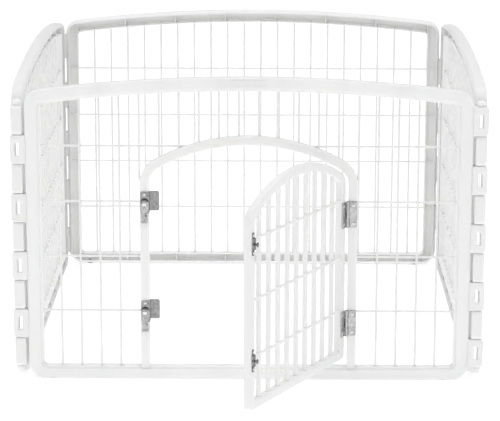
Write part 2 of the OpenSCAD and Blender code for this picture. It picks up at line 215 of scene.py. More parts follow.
def coated(name):
    """Thick white dip coat on wire: glossy, with orange peel and slow thickness waves."""
    m, nt, b = new_mat(name)
    co = nt.nodes.new("ShaderNodeTexCoord").outputs["Object"]
    peel = noise_node(nt, co, 620.0, 2.0, 0.5)
    slow = noise_node(nt, co, 45.0, 2.0, 0.5)
    tone = noise_node(nt, co, 18.0, 4.0, 0.6)
    base = ramp(nt, tone.outputs[0], [(0.3, (0.885, 0.885, 0.882)), (0.7, (0.91, 0.91, 0.907))])
    nt.links.new(base.outputs[0], b.inputs["Base Color"])
    rr = map_range(nt, slow.outputs[0], 0.3, 0.7, 0.22, 0.36)
    nt.links.new(rr.outputs[0], b.inputs["Roughness"])
    bumps(nt, b, [(peel.outputs[0], 0.18, 0.0004), (slow.outputs[0], 0.25, 0.0008)])
    b.inputs["Coat Weight"].default_value = 0.35
    b.inputs["Coat Roughness"].default_value = 0.12
    b.inputs["IOR"].default_value = 1.5
    return m


def plated(name, dark, light, r0, r1, brush=(1.0, 1.0, 14.0), painted_glow=0.0):
    """Zinc plate: mottled crystals, brushed rolling lines, darker stains spread at random."""
    m, nt, b = new_mat(name)
    co = nt.nodes.new("ShaderNodeTexCoord").outputs["Object"]
    vor = nt.nodes.new("ShaderNodeTexVoronoi")
    vor.inputs["Scale"].default_value = 420.0
    nt.links.new(co, vor.inputs["Vector"])
    stain = noise_node(nt, co, 160.0, 5.0, 0.6)
    lines = noise_node(nt, co, 700.0, 3.0, 0.6, brush)
    base = ramp(nt, stain.outputs[0], [(0.3, dark), (0.7, light)])
    cr = mix_rgb(nt, 0.18, base.outputs[0], vor.outputs["Color"], "SOFT_LIGHT")
    bw = nt.nodes.new("ShaderNodeHueSaturation")
    bw.inputs["Saturation"].default_value = 0.06
    nt.links.new(cr.outputs[2], bw.inputs["Color"])
    nt.links.new(bw.outputs[0], b.inputs["Base Color"])
    rr = map_range(nt, lines.outputs[0], 0.3, 0.7, r0, r1)
    nt.links.new(rr.outputs[0], b.inputs["Roughness"])
    bumps(nt, b, [(lines.outputs[0], 0.12, 0.00008), (stain.outputs[0], 0.08, 0.0002)])
    b.inputs["Metallic"].default_value = 1.0
    # the emission here is a painted glow: painted light on a part that is no lamp
    if painted_glow:
        b.inputs["Emission Color"].default_value = (1, 1, 1, 1)
        b.inputs["Emission Strength"].default_value = painted_glow
    return m


def rubber(name):
    m, nt, b = new_mat(name)
    co = nt.nodes.new("ShaderNodeTexCoord").outputs["Object"]
    g = noise_node(nt, co, 1500.0, 3.0, 0.6)
    d = noise_node(nt, co, 120.0, 4.0, 0.6)
    base = ramp(nt, d.outputs[0], [(0.3, (0.50, 0.50, 0.49)), (0.7, (0.60, 0.60, 0.59))])
    nt.links.new(base.outputs[0], b.inputs["Base Color"])
    rr = map_range(nt, g.outputs[0], 0.3, 0.7, 0.68, 0.86)
    nt.links.new(rr.outputs[0], b.inputs["Roughness"])
    bumps(nt, b, [(g.outputs[0], 0.3, 0.0002)])
    return m


PLASTIC = moulded("moulded_white", (0.93, 0.93, 0.927), (0.915, 0.915, 0.912), 0.40, 0.50)
KNUCKLE_PL = moulded("moulded_white_knuckle", (0.93, 0.93, 0.927), (0.915, 0.915, 0.912), 0.40, 0.50, 2700.0, 0.4, 0.003)
# darker copy of the moulded white for the door: its slightly lower base colour is painted shade
DOOR_PL = moulded("moulded_white_door_painted_shade", (0.93, 0.93, 0.927), (0.905, 0.905, 0.902), 0.36, 0.46, 2900.0, 0.2, 0.002)
PLATE_PL = moulded("moulded_white_plate", (0.935, 0.935, 0.932), (0.90, 0.90, 0.897), 0.28, 0.36, 3400.0, 0.0, 0.001)
ROD_PL = moulded("knob_white", (0.94, 0.94, 0.936), (0.93, 0.93, 0.926), 0.26, 0.34, 3000.0)
# rod steel with a painted glow: its emission stands in for the light the rod would catch inside the knuckle windows
ROD_ST = plated("rod_steel_painted_glow", (0.80, 0.80, 0.805), (0.90, 0.90, 0.905), 0.10, 0.20, (1.0, 1.0, 0.05), 0.5)
WIRE = coated("coated_wire")
STEEL = plated("zinc_sheet", (0.34, 0.343, 0.349), (0.56, 0.563, 0.57), 0.16, 0.30)
# darker copy of the zinc for the keeper: its lower base colour is painted shade on the front flange
KEEPER_PAINTED_SHADE = plated("zinc_keeper_painted_shade", (0.20, 0.202, 0.206), (0.36, 0.363, 0.37), 0.16, 0.30)
LEVER = plated("zinc_lever", (0.28, 0.282, 0.287), (0.50, 0.503, 0.51), 0.12, 0.24)
CATCH = plated("zinc_catch", (0.10, 0.101, 0.104), (0.26, 0.262, 0.268), 0.14, 0.28)
SCREW = plated("zinc_screw", (0.62, 0.62, 0.63), (0.82, 0.82, 0.83), 0.12, 0.26, (6.0, 6.0, 6.0))
RUBBER = rubber("grey_rubber")

# ---------------------------------------------------------------- mesh helpers


class Geo:
    """Gathers closed shells, in millimetres, for one object."""

    def __init__(self):
        self.v, self.f = [], []

    def add(self, verts, faces, mat=None):
        n = len(self.v)
        if mat is not None:
            verts = [tuple(mat @ Vector(p)) for p in verts]
        self.v += [tuple(p) for p in verts]
        flip = mat is not None and mat.to_3x3().determinant() < 0
        self.f += [tuple(n + i for i in (reversed(f) if flip else f)) for f in faces]

    def add_mesh(self, me, mat=None):
        self.add([tuple(v.co) for v in me.vertices], [tuple(p.vertices) for p in me.polygons], mat)


def tidy(verts, faces, bevel=0.0, segs=2, angle=35):
    """A mesh from a closed shell with its edges rounded."""
    me = bpy.data.meshes.new("t")
    me.from_pydata([tuple(p) for p in verts], [], [tuple(f) for f in faces])
    bm = bmesh.new()
    bm.from_mesh(me)
    bmesh.ops.remove_doubles(bm, verts=bm.verts, dist=1e-4)
    bmesh.ops.recalc_face_normals(bm, faces=bm.faces)
    if bevel > 0:
        es = [e for e in bm.edges if len(e.link_faces) == 2 and e.calc_face_angle(0) > math.radians(angle)]
        bmesh.ops.bevel(bm, geom=es, offset=bevel, segments=segs, profile=0.5, affect="EDGES", clamp_overlap=True)
        bmesh.ops.recalc_face_normals(bm, faces=bm.faces)
    bm.to_mesh(me)
    bm.free()
    return me


def build(name, geo, body, mat, nodes, world=Matrix.Identity(4), sharp=None):
    me = bpy.data.meshes.new(name)
    me.from_pydata([tuple((world @ Vector(p)) * MM) for p in geo.v], [], geo.f)
    bm = bmesh.new()
    bm.from_mesh(me)
    bmesh.ops.recalc_face_normals(bm, faces=bm.faces)
    bm.to_mesh(me)
    bm.free()
    for p in me.polygons:
        p.use_smooth = True
    me.update()
    o = bpy.data.objects.new(name, me)
    bpy.context.scene.collection.objects.link(o)
    me.materials.append(mat)
    if sharp is not None:
        me.set_sharp_from_angle(angle=math.radians(sharp))
    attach(o, body)
    if nodes:
        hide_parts(*nodes)
    return o


def crowned(hw, zb, zt, R, rt, rb, n=7, m=44):
    """Outline with a crowned top, as matching points for any inset: half width, bottom, crown, radii."""
    zc = zt - R
    zq = zc + math.sqrt((R - rt) ** 2 - (hw - rt) ** 2)
    fi = math.atan2(zq - zc, hw - rt)
    p = []
    for i in range(n + 1):
        a = -math.pi / 2 + math.pi / 2 * i / n
        p.append((hw - rb + rb * math.cos(a), zb + rb + rb * math.sin(a)))
    for i in range(n + 1):
        a = fi * i / n
        p.append((hw - rt + rt * math.cos(a), zq + rt * math.sin(a)))
    for i in range(1, m):
        a = fi + (math.pi - 2 * fi) * i / m
        p.append((R * math.cos(a), zc + R * math.sin(a)))
    for i in range(n + 1):
        a = math.pi - fi + fi * i / n
        p.append((-(hw - rt) + rt * math.cos(a), zq + rt * math.sin(a)))
    for i in range(n + 1):
        a = math.pi + math.pi / 2 * i / n
        p.append((-(hw - rb) + rb * math.cos(a), zb + rb + rb * math.sin(a)))
    return np.array(p)


def crown_at(x, hw, zt, R, rt):
    zc = zt - R
    zq = zc + math.sqrt((R - rt) ** 2 - (hw - rt) ** 2)
    xt = R * math.cos(math.atan2(zq - zc, hw - rt))
    if abs(x) <= xt:
        return zc + math.sqrt(R * R - x * x)
    return zq + math.sqrt(max(0.0, rt * rt - (abs(x) - (hw - rt)) ** 2))


def loft(rows, close_u=True, close_v=True, cap=False):
    """rows: equal-length rings of 3-D points. close_u closes each ring, close_v joins the last ring to the first."""
    n = len(rows[0])
    v = [tuple(p) for r in rows for p in r]
    f = []
    nr = len(rows)
    for j in range(nr if close_v else nr - 1):
        a, b = j * n, ((j + 1) % nr) * n
        for i in range(n if close_u else n - 1):
            k = (i + 1) % n
            f.append((a + i, a + k, b + k, b + i))
    if cap and not close_u:
        f.append(tuple(j * n for j in range(nr)))
        f.append(tuple(j * n + n - 1 for j in reversed(range(nr))))
    if cap and close_u:
        f.append(tuple(range(n)))
        f.append(tuple(reversed(range((nr - 1) * n, nr * n))))
    return v, f


def outline_rows(prof, out, inn):
    """prof: (share, inset, y): share 0 is the outer outline pulled in, 1 is the opening's outline grown."""
    rows = []
    for t, d, y in prof:
        if t == 0:
            o = out(d)
        elif t == 1:
            o = inn(d)
        else:
            o = out(d[0]) * (1 - t) + inn(d[1]) * t
        rows.append([(x, y, z) for x, z in o])
    return rows


def arc(r, n, d0, y0, sd, sy, a0, a1):
    return [(d0 + sd * r * math.cos(math.radians(a0 + (a1 - a0) * i / n)),
             y0 + sy * r * math.sin(math.radians(a0 + (a1 - a0) * i / n))) for i in range(n + 1)]


def cyl(x, y, z0, z1, r, n=14, bow=0.0, ph=0.0, axis="z", steps=1, dome=0.5):
    """Round bar with softened ends."""
    rows = []
    zs = [(z0, r - dome), (z0 + dome * 0.3, r - dome * 0.3), (z0 + dome, r)]
    for i in range(1, steps):
        zs.append((z0 + (z1 - z0) * i / steps, r))
    zs += [(z1 - dome, r), (z1 - dome * 0.3, r - dome * 0.3), (z1, r - dome)]
    for z, rr in zs:
        s = (z - z0) / (z1 - z0)
        dx = bow * math.sin(math.pi * s) * math.sin(ph)
        dy = bow * math.sin(math.pi * s) * math.cos(ph) * 0.4
        ring = []
        for k in range(n):
            a = 2 * math.pi * k / n
            if axis == "z":
                ring.append((x + dx + rr * math.cos(a), y + dy + rr * math.sin(a), z))
            else:
                ring.append((z, x + dy + rr * math.cos(a), y + dx + rr * math.sin(a)))
        rows.append(ring)
    return loft(rows, True, False, True)


def lathe(prof, n=32, mat=None):
    """Turned solid about Z from (radius, z) pairs, first and last radius 0."""
    v, f = [], []
    v.append((0, 0, prof[0][1]))
    rings = prof[1:-1]
    for r, z in rings:
        for k in range(n):
            a = 2 * math.pi * k / n
            v.append((r * math.cos(a), r * math.sin(a), z))
    v.append((0, 0, prof[-1][1]))
    last = len(v) - 1
    for k in range(n):
        f.append((0, 1 + (k + 1) % n, 1 + k))
        b = 1 + (len(rings) - 1) * n
        f.append((last, b + k, b + (k + 1) % n))
    for j in range(len(rings) - 1):
        a, b = 1 + j * n, 1 + (j + 1) * n
        for k in range(n):
            k2 = (k + 1) % n
            f.append((a + k, a + k2, b + k2, b + k))
    if mat is not None:
        v = [tuple(mat @ Vector(p)) for p in v]
    return v, f


def rbox(x0, x1, y0, y1, z0, z1, r=0.6, segs=2):
    v = [(x, y, z) for x in (x0, x1) for y in (y0, y1) for z in (z0, z1)]
    f = [(0, 1, 3, 2), (4, 6, 7, 5), (0, 4, 5, 1), (2, 3, 7, 6), (0, 2, 6, 4), (1, 5, 7, 3)]
    return tidy(v, f, r, segs, 20)


def rrect(x0, x1, z0, z1, ra, rb, n=5):
    """Rounded rectangle: radius ra on the x0 side, rb on the x1 side."""
    p = []
    for cx, cz, r, a0 in ((x1 - rb, z0 + rb, rb, -90), (x1 - rb, z1 - rb, rb, 0), (x0 + ra, z1 - ra, ra, 90), (x0 + ra, z0 + ra, ra, 180)):
        for i in range(n + 1):
            a = math.radians(a0 + 90 * i / n)
            p.append((cx + r * math.cos(a), cz + r * math.sin(a)))
    return np.array(p)


def prism(poly, y0, y1):
    """Flat outline in XZ given depth."""
    n = len(poly)
    v = [(x, y0, z) for x, z in poly] + [(x, y1, z) for x, z in poly]
    f = [tuple(range(n)), tuple(reversed(range(n, 2 * n)))]
    f += [(i, i + n, (i + 1) % n + n, (i + 1) % n) for i in range(n)]
    return v, f


def cut(me, cutters, how="DIFFERENCE"):
    """me with the cutters taken out, as a new mesh."""
    o = bpy.data.objects.new("cut_a", me)
    bpy.context.scene.collection.objects.link(o)
    others = []
    for c in cutters:
        q = bpy.data.objects.new("cut_b", c)
        bpy.context.scene.collection.objects.link(q)
        others.append(q)
        md = o.modifiers.new("b", "BOOLEAN")
        md.operation = how
        md.solver = "EXACT"
        md.object = q
    bpy.context.view_layer.update()
    dg = bpy.context.evaluated_depsgraph_get()
    res = bpy.data.meshes.new_from_object(o.evaluated_get(dg))
    for q in others + [o]:
        bpy.data.objects.remove(q)
    return res


def bevelled(me, r, segs=2, angle=35):
    return tidy([v.co for v in me.vertices], [p.vertices for p in me.polygons], r, segs, angle)


# ---------------------------------------------------------------- panel frames


def f_out(d):
    return crowned(HW - d, LOW + d, CROWN_Z - d, CROWN_R - d, CORNER_R - d, CORNER_R - d)


def f_in(d):
    return crowned(HW - STILE + d, LOW + RAIL_B - d, CROWN_Z - RAIL_T + d, CROWN_R - RAIL_T + d, 8 + d, 8 + d)


FR, FI, LEDGE = 3.0, 1.4, 5.0
FRAME_PROF = []
# face, slightly domed between its rounded edges
for t in (0.0, 0.2, 0.5, 0.8):
    FRAME_PROF.append((t, FR if t == 0 else (FR, LEDGE + FI), -HT + 0.3 * (2 * t - 1) ** 2))
for i in range(0, 5):
    a = math.radians(90 * i / 4)
    FRAME_PROF.append((1, LEDGE + FI * (1 - math.sin(a)), -HT + 0.3 + FI * (1 - math.cos(a))))
# stepped border round the opening, then the wall beside the wires
FRAME_PROF += [(1, LEDGE, -9.5), (1, LEDGE - 0.15, -9.15), (1, LEDGE - 0.5, -9.0), (1, 1.1, -9.0), (1, 0.35, -8.75), (1, 0, -8.0),
               (1, 0, 8.1), (1, 0.25, 8.75), (1, 0.9, 9.0), (1, WALL - 0.9, 9.0), (1, WALL - 0.25, 8.75), (1, WALL, 8.1),
               (1, WALL, -5.2), (1, WALL + 0.3, -5.75), (1, WALL + 1.0, -6.0), (1, LEDGE + WALL - 0.8, -6.0), (1, LEDGE + WALL - 0.2, -6.2),
               (1, LEDGE + WALL, -6.8), (1, LEDGE + WALL, -9.1), (1, LEDGE + WALL + 0.3, -9.75), (1, LEDGE + WALL + 1.0, -10.0),
               (0, WALL + 1.2, -10.0), (0, WALL + 0.35, -9.65), (0, WALL, -8.8),
               (0, 3, 3.5), (0, 3.6, 6.5), (0, 5.0, 9.5), (0, 6.8, 12.2), (0, 7.3, 13.1), (0, 7.1, 13.5), (0, 5.9, 13.5),
               (0, 5.2, 13.2), (0, 4.2, 12.2), (0, 2.6, 10), (0, 0.7, 7.4), (0, 0, 5.5)]
for i in range(0, 5):
    a = math.radians(90 * i / 5)
    FRAME_PROF.append((0, FR * (1 - math.cos(a)), -HT + FR - (FR - 0.3) * math.sin(a)))


def knuckle_mesh():
    """One knuckle at the right-hand end, centred on z = 0, with its window and its bore."""
    x0, x1 = HW - 2, AXIS / 2 + 14.5
    ax = AXIS / 2
    C = 5.0

    def out(d):
        """Outer outline with bevelled outer corners, pulled in by d."""
        xa, xb, zz = x0 + 0.2, x1 - d, K_H / 2 - d * 0.55
        c = C - d * 0.4
        k = 0.9
        p = [(xa, -zz), (xb - c - k, -zz), (xb - c - 0.2, -zz + 0.12), (xb - c + k * 0.7, -zz + k * 0.8), (xb - k * 0.8, -zz + c - k * 0.7),
             (xb - 0.12, -zz + c + 0.2), (xb, -zz + c + k), (xb, -zz * 0.33), (xb, zz * 0.33)]
        p += [(xb, zz - c - k), (xb - 0.12, zz - c - 0.2), (xb - k * 0.8, zz - c + k * 0.7), (xb - c + k * 0.7, zz - k * 0.8),
              (xb - c - 0.2, zz - 0.12), (xb - c - k, zz), (xa, zz), (xa, zz * 0.5), (xa, -zz * 0.5)]
        return np.array(p)

    def inn(d):
        """Window outline with matching points."""
        w, h = WIN_W / 2 + d, WIN_H / 2 + d
        q = 1.2
        p = [(ax - w + q, -h), (ax + w - q * 1.6, -h), (ax + w - q, -h), (ax + w - q * 0.45, -h + q * 0.15), (ax + w - q * 0.15, -h + q * 0.45),
             (ax + w, -h + q), (ax + w, -h + q * 1.6), (ax + w, -h * 0.33), (ax + w, h * 0.33)]
        p += [(ax + w, h - q * 1.6), (ax + w, h - q), (ax + w - q * 0.15, h - q * 0.45), (ax + w - q * 0.45, h - q * 0.15),
              (ax + w - q, h), (ax + w - q * 1.6, h), (ax - w + q, h), (ax - w, h * 0.5), (ax - w, -h * 0.5)]
        return np.array(p)

    R, r, B = 3.6, 0.8, 10.0
    prof = []
    for i in range(6):
        a = math.radians(90 * i / 5)
        prof.append((0, R * (1 - math.sin(a)), -12 + R * (1 - math.cos(a))))
    for i in range(6):
        a = math.radians(90 * i / 5)
        prof.append((0, R * (1 - math.cos(a)), B - R * (1 - math.sin(a))))
    for i in range(4):
        a = math.radians(90 * i / 3)
        prof.append((1, r * (1 - math.sin(a)), B - r * (1 - math.cos(a))))
    for i in range(4):
        a = math.radians(90 * i / 3)
        prof.append((1, r * (1 - math.cos(a)), -12 + r * (1 - math.sin(a))))
    v, f = loft(outline_rows(prof, out, inn), True, True)
    me = tidy(v, f)
    cv, cf = cyl(ax, 0, -40, 40, ROD_R + 0.1, 28, dome=0.01)
    me = cut(me, [tidy(cv, cf)])
    return me


KNUCKLE = knuckle_mesh()
MIRROR_X = Matrix.Diagonal((-1, 1, 1, 1))


def frame_geo():
    g = Geo()
    v, f = loft(outline_rows(FRAME_PROF, f_out, f_in), True, True)
    g.add(v, f)
    return g


def knuckle_geo():
    """Knuckles, with the cross ribs that stand in the channel."""
    g = Geo()
    for k in (-7.5, -4.5, -1.5, 1.5, 4.5, 7.5):
        x = k * PITCH + 5
        zi = crown_at(x, HW - STILE, CROWN_Z - RAIL_T, CROWN_R - RAIL_T, 8)
        zo = crown_at(x, HW, CROWN_Z, CROWN_R, CORNER_R)
        g.add_mesh(rbox(x - 1.5, x + 1.5, -7.6, 7.3, zi + 1.2, zo - 1.2, 0.5))
        g.add_mesh(rbox(x - 1.45, x + 1.45, -10.6, 2, zi + 6.2, zo - 1.3, 0.4))
        g.add_mesh(rbox(x - 1.5, x + 1.5, -7.6, 7.3, LOW + 1.2, LOW + RAIL_B - 1.2, 0.5))
        g.add_mesh(rbox(x - 1.45, x + 1.45, -10.6, 2, LOW + 1.3, LOW + RAIL_B - 6.2, 0.4))
    # the stiles' inner walls carried on into the rails
    for sx in (-1, 1):
        x = sx * (HW - STILE + 1.5)
        zi = crown_at(x, HW - STILE + 8, CROWN_Z - RAIL_T, CROWN_R - RAIL_T, 8)
        zo = crown_at(x, HW, CROWN_Z, CROWN_R, CORNER_R)
        g.add_mesh(rbox(x - 1.2, x + 1.2, -8.4, 7.3, zi - 12, zo - 1.2, 0.4))
        g.add_mesh(rbox(x - 1.2, x + 1.2, -8.4, 7.3, LOW + 1.2, LOW + RAIL_B + 10, 0.4))
    for i in range(5):
        g.add_mesh(KNUCKLE, T(0, 0, K_Z + K_PITCH * i))
    for i in range(4):
        g.add_mesh(KNUCKLE, MIRROR_X @ T(0, 0, K_Z + K_PITCH * (i + 0.5)))
    return g


# ---------------------------------------------------------------- wire mesh


def wx(i):
    return (i - 9.5) * PITCH


def rail_z(x):
    return crown_at(x, HW - STILE, CROWN_Z - RAIL_T, CROWN_R - RAIL_T, 8) + 6


W_LOW = LOW + RAIL_B - 7
W_END = HW - STILE + 21


def weld(g, x, z):
    """The coat drawn together round a welded crossing."""
    v, f = lathe([(0, -2.0), (0.9, -1.75), (1.55, -1.1), (1.9, 0), (1.55, 1.1), (0.9, 1.75), (0, 2.0)], 12)
    y = (WIRE_Y + LEVEL_Y) / 2
    g.add(v, f, T(x, y, z) @ Matrix.Diagonal((1.42, 1.3, 1.35, 1)))


def collar(g, x, y, z, axis, up):
    """Low moulded ring where a wire enters a rail or stile."""
    v, f = lathe([(0, -0.8), (3.9, -0.8), (3.8, 0.1), (3.5, 0.55), (3.0, 0.75), (0, 0.75)], 18)
    if axis == "z":
        m = T(x, y, z) @ (Matrix.Identity(4) if up else Matrix.Rotation(math.pi, 4, "X"))
    else:
        m = T(x, y, z) @ Matrix.Rotation(math.pi / 2 if up else -math.pi / 2, 4, "Y")
    g.add(v, f, m)


def upright(g, i, z0, z1, seed=0):
    v, f = cyl(wx(i), WIRE_Y, z0, z1, WD / 2, 16, 0.02, i * 2.39 + seed, steps=6)
    g.add(v, f)


def level(g, k, x0, x1, seed=0):
    v, f = cyl(LEVEL_Y, Z0 + ROW * k, x0, x1, WD / 2, 16, 0.02, k * 1.7 + seed, "x", steps=8)
    g.add(v, f)


def panel_mesh_geo(seed):
    g = Geo()
    for i in range(20):
        upright(g, i, W_LOW, rail_z(wx(i)), seed)
    for k in range(4):
        level(g, k, -W_END, W_END, seed)
        for i in range(20):
            weld(g, wx(i), Z0 + ROW * k)
    return g


def side_mesh_geo(seed):
    g = Geo()
    for i in range(4):
        upright(g, i, W_LOW, rail_z(wx(i)), seed)
        for k in range(4):
            weld(g, wx(i), Z0 + ROW * k)
    for k in range(3):
        level(g, k, -W_END, -S_HW + 6, seed)
    level(g, 3, -W_END, wx(3) + 3, seed)
    return g


def arch_mesh_geo():
    g = Geo()
    z3 = Z0 + ROW * 3
    xa = math.sqrt(ARCH_R ** 2 - (z3 - (ARCH_Z - ARCH_R)) ** 2)
    for i in range(4, 16):
        z0 = crown_at(wx(i), S_HW + 3, ARCH_Z, ARCH_R, SH_R) - 7
        upright(g, i, z0, rail_z(wx(i)), 5)
        if z0 < z3 - 6:
            weld(g, wx(i), z3)
    level(g, 3, wx(3) + 3, -xa + 14, 5)
    level(g, 3, xa - 14, -wx(3) - 3, 5)
    return g


def collars_geo(front=False):
    g = Geo()
    for i in range(20):
        x = wx(i)
        zt = rail_z(x) - 6
        slope = 0.0 if abs(x) > HW - STILE - 10 else x / (CROWN_R - RAIL_T)
        collar(g, x, WIRE_Y, zt - 0.1 - abs(slope), "z", False)
        if not front or abs(x) > S_HW:
            collar(g, x, WIRE_Y, LOW + RAIL_B, "z", True)
    for k in range(4):
        for s in (-1, 1):
            collar(g, s * (HW - STILE), LEVEL_Y, Z0 + ROW * k, "x", s < 0)
    return g


PANELS = (("front", M_FRONT), ("right", M_RIGHT), ("back", M_BACK), ("left", M_LEFT))
base = frame_geo()
inner = knuckle_geo()
for n, (name, M) in enumerate(PANELS):
    body = name + "_panel"
    g = Geo()
    g.v, g.f = list(base.v), list(base.f)
    build(name + "_panel_frame", g, body, PLASTIC, [name + "_frame"], M, 32)
    g = Geo()
    g.v, g.f = list(inner.v), list(inner.f)
    build(name + "_panel_knuckles", g, body, KNUCKLE_PL, [name + "_frame"], M, 32)
    if name != "front":
        g = panel_mesh_geo(n * 1.3)
        c = collars_geo()
        g.add(c.v, c.f)
        build(name + "_wire_mesh", g, body, WIRE, [name + "_mesh"], M, 50)
build("front_wire_left", side_mesh_geo(0.4), "front_panel", WIRE, ["front_mesh_left"], M_FRONT, 50)
build("front_wire_right", side_mesh_geo(2.1), "front_panel", WIRE, ["front_mesh_right"], M_FRONT @ MIRROR_X, 50)
g = arch_mesh_geo()
c = collars_geo(True)
g.add(c.v, c.f)
build("front_wire_arch", g, "front_panel", WIRE, ["front_mesh_arch"], M_FRONT, 50)

# ---------------------------------------------------------------- doorway surround


def arch_path(d, zb=20.0, n=9, m=40):
    hw, zt, R, rt = S_HW - d, ARCH_Z - d, ARCH_R - d, SH_R - d
    zc = zt - R
    zq = zc + math.sqrt((R - rt) ** 2 - (hw - rt) ** 2)
    fi = math.atan2(zq - zc, hw - rt)
    p = [(hw, zb), (hw, zb + 20)]
    p += [(hw - rt + rt * math.cos(fi * i / n), zq + rt * math.sin(fi * i / n)) for i in range(n + 1)]
    p += [(R * math.cos(fi + (math.pi - 2 * fi) * i / m), zc + R * math.sin(fi + (math.pi - 2 * fi) * i / m)) for i in range(1, m)]
    p += [(-(hw - rt) + rt * math.cos(math.pi - fi + fi * i / n), zq + rt * math.sin(math.pi - fi + fi * i / n)) for i in range(n + 1)]
    p += [(-hw, zb + 20), (-hw, zb)]
    return np.array(p)


def bar_prof(w, y0, y1, R, r, dome=0.15):
    """Cross-section of a bar of width w between depths y0 and y1: (inset, y), rounded R in front and r behind."""
    p = []
    for i in range(5):
        a = math.radians(90 * i / 4)
        p.append((R * (1 - math.cos(a)), y0 + R * (1 - math.sin(a))))
    p.append((w / 2, y0 - 0.0 + 0.0))
    for i in range(5):
        a = math.radians(90 * i / 4)
        p.append((w - R * (1 - math.sin(a)), y0 + R * (1 - math.cos(a))))
    for i in range(4):
        a = math.radians(90 * i / 3)
        p.append((w - r * (1 - math.cos(a)), y1 - r * (1 - math.sin(a))))
    for i in range(4):
        a = math.radians(90 * i / 3)
        p.append((r * (1 - math.sin(a)), y1 - r * (1 - math.cos(a))))
    return p


g = Geo()
rows = [[(x, y, z) for x, z in arch_path(d)] for d, y in bar_prof(S_W, FACE_Y, FACE_Y + S_T, 2.2, 1.4)]
v, f = loft(rows, False, True, True)
g.add(v, f)
build("doorway_surround_moulding", g, "front_panel", PLASTIC, ["doorway_surround"], M_FRONT, 32)

# ---------------------------------------------------------------- name plate


def plate_geo():
    g = Geo()
    out = lambda d: rrect(-34 + d, 34 - d, CROWN_Z - 16 + d, CROWN_Z - 5 - d, 3 - d * 0.6, 3 - d * 0.6, 5)
    prof = [(0.0, -HT + 0.4), (0.0, -HT - 0.55), (0.15, -HT - 0.85), (0.45, -HT - 1.0), (1.15, -HT - 1.0), (1.35, -HT - 0.95),
            (1.5, -HT - 0.7), (1.75, -HT - 0.6), (2.6, -HT - 0.6)]
    rows = []
    for d, y in prof:
        o = out(d)
        # the plate follows the crown's curve
        rows.append([(x, y, z - x * x / (2 * CROWN_R)) for x, z in o])
    v, f = loft(rows, True, False, True)
    g.add(v, f)
    # plain moulded bars standing on the sunken field
    for x0, x1 in ((-27, -13), (-9, 9), (13, 27)):
        for z0, z1 in ((-12.6, -11.2), (-9.6, -8.2)):
            xm = (x0 + x1) / 2
            dz = CROWN_Z - xm * xm / (2 * CROWN_R)
            g.add_mesh(rbox(x0, x1, -HT - 0.98, -HT - 0.3, dz + z0, dz + z1, 0.3, 2))
    return g


build("name_plate_blank", plate_geo(), "front_panel", PLATE_PL, ["nameplate"], M_FRONT, 32)

# ---------------------------------------------------------------- feet


def feet_geo():
    g = Geo()
    for s in (-1, 1):
        v, f = lathe([(0, 0.5), (4.6, 0.5), (4.9, 0.0), (6.3, 0.0), (6.8, 0.3), (7.0, 0.8), (7.0, 1.5), (6.7, 1.9), (6.2, 2.0),
                      (3.5, 2.0), (3.4, 3.0), (3.4, 8.0), (3.0, 9.0), (0, 9.0)], 36)
        g.add(v, f, T(s * 383.5, 0, 0))
    return g


for name, M in PANELS:
    build(name + "_rubber_feet", feet_geo(), name + "_panel", RUBBER, [name + "_feet"], M, 40)

# ---------------------------------------------------------------- corner rods


def rod_geo():
    g = Geo()
    v, f = lathe([(0, K_BOT - 9), (2.6, K_BOT - 9), (3.0, K_BOT - 8.4), (3.0, K_TOP + 5.6), (2.7, K_TOP + 6), (0, K_TOP + 6)], 40)
    g.add(v, f)
    return g


def knob_geo():
    """Domed knob with a shadow ring low on its side and a shallow dimple on top."""
    g = Geo()
    z = K_TOP + 0.4
    prof = [(0, z), (8.2, z), (8.75, z + 0.2), (9.0, z + 0.7), (9.0, z + 1.5), (8.65, z + 1.8), (8.65, z + 2.2), (9.0, z + 2.5), (9.0, z + 6.0)]
    for i in range(1, 9):
        a = math.radians(90 * i / 9)
        prof.append((9.0 * math.cos(a), z + 6.0 + 5.0 * math.sin(a)))
    prof += [(1.4, z + 11.0), (0.9, z + 10.75), (0, z + 10.7)]
    v, f = lathe(prof, 40)
    g.add(v, f)
    return g


def cap_geo():
    g = Geo()
    zb = K_BOT - 15
    prof = [(0, zb + 0.6), (2.2, zb + 0.6), (2.6, zb), (4.5, zb)]
    for i in range(1, 7):
        a = math.radians(-90 + 90 * i / 6)
        prof.append((4.5 + 5 * math.cos(a), zb + 5 + 5 * math.sin(a)))
    prof += [(9.5, zb + 7), (9.1, zb + 7.4), (9.1, zb + 8.6), (9.5, zb + 9), (9.5, zb + 13.6), (9.2, zb + 14.3), (8.5, zb + 14.6), (3.05, zb + 14.6),
             (3.0, zb + 14.2), (0, zb + 14.2)]
    v, f = lathe(prof, 40)
    g.add(v, f)
    return g


for fb, yy in (("front", 0.0), ("back", AXIS)):
    for lr, sx in (("left", -1), ("right", 1)):
        where = fb + "_" + lr
        body = frame["nodes"]["corner_rod_" + where]["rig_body"]
        M = T(sx * AXIS / 2, FRONT_Y + yy, 0)
        build("hinge_rod_" + where, rod_geo(), body, ROD_ST, ["corner_rod_" + where], M, 40)
        build("rod_knob_" + where, knob_geo(), body, ROD_PL, ["corner_knob_" + where], M, 40)
        body = frame["nodes"]["corner_cap_" + where]["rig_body"]
        build("rod_cap_" + where, cap_geo(), body, ROD_PL, ["corner_cap_" + where], M, 40)

# ---------------------------------------------------------------- door


def door_out(d):
    q = S_W + GAP + d
    return crowned(S_HW - q, D_Z + d, ARCH_Z - q, ARCH_R - q, max(3, SH_R - q), max(3, 8 - d), 7, 40)


